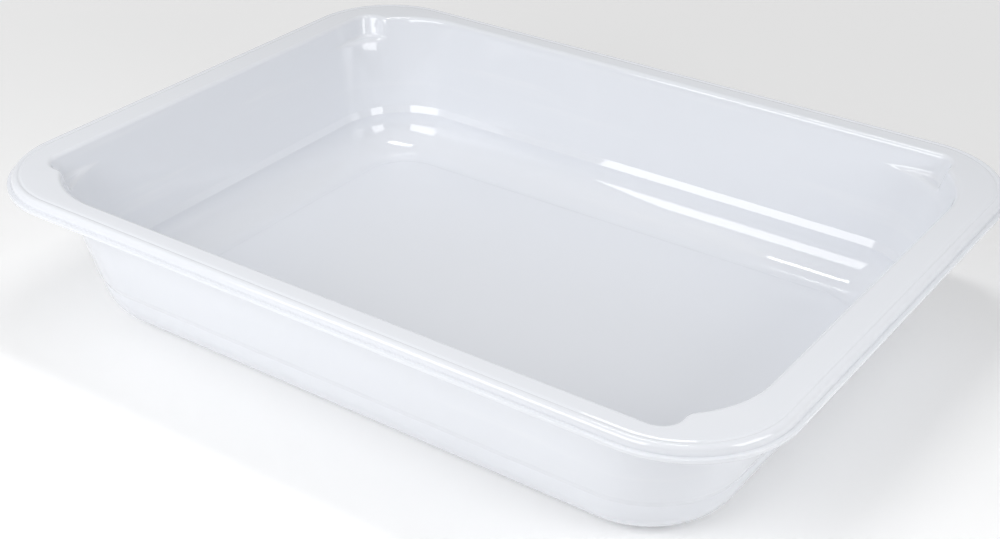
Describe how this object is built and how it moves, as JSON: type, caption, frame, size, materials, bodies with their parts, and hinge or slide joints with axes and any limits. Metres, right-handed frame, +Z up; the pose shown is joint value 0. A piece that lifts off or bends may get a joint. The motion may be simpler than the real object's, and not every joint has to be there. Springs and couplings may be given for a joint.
{
  "type": "developing tray",
  "caption": "Open rectangular tray for print processing, with a flat floor, drafted walls, rounded corners, a flat rim with a rolled edge, and stacking pockets.",
  "frame": {"origin": "centre of the flat underside, at the middle of the tray's length and width", "axes": "+X along the tray's length, towards the end whose stacking pockets run along the long sides; +Z up, out of the open top"},
  "size_m": [0.47, 0.354, 0.087],
  "materials": {
    "white_plastic": "smooth glossy white polystyrene sheet"
  },
  "bodies": {
    "root": {"tray_shell": "white_plastic"}
  },
  "joints": []
}
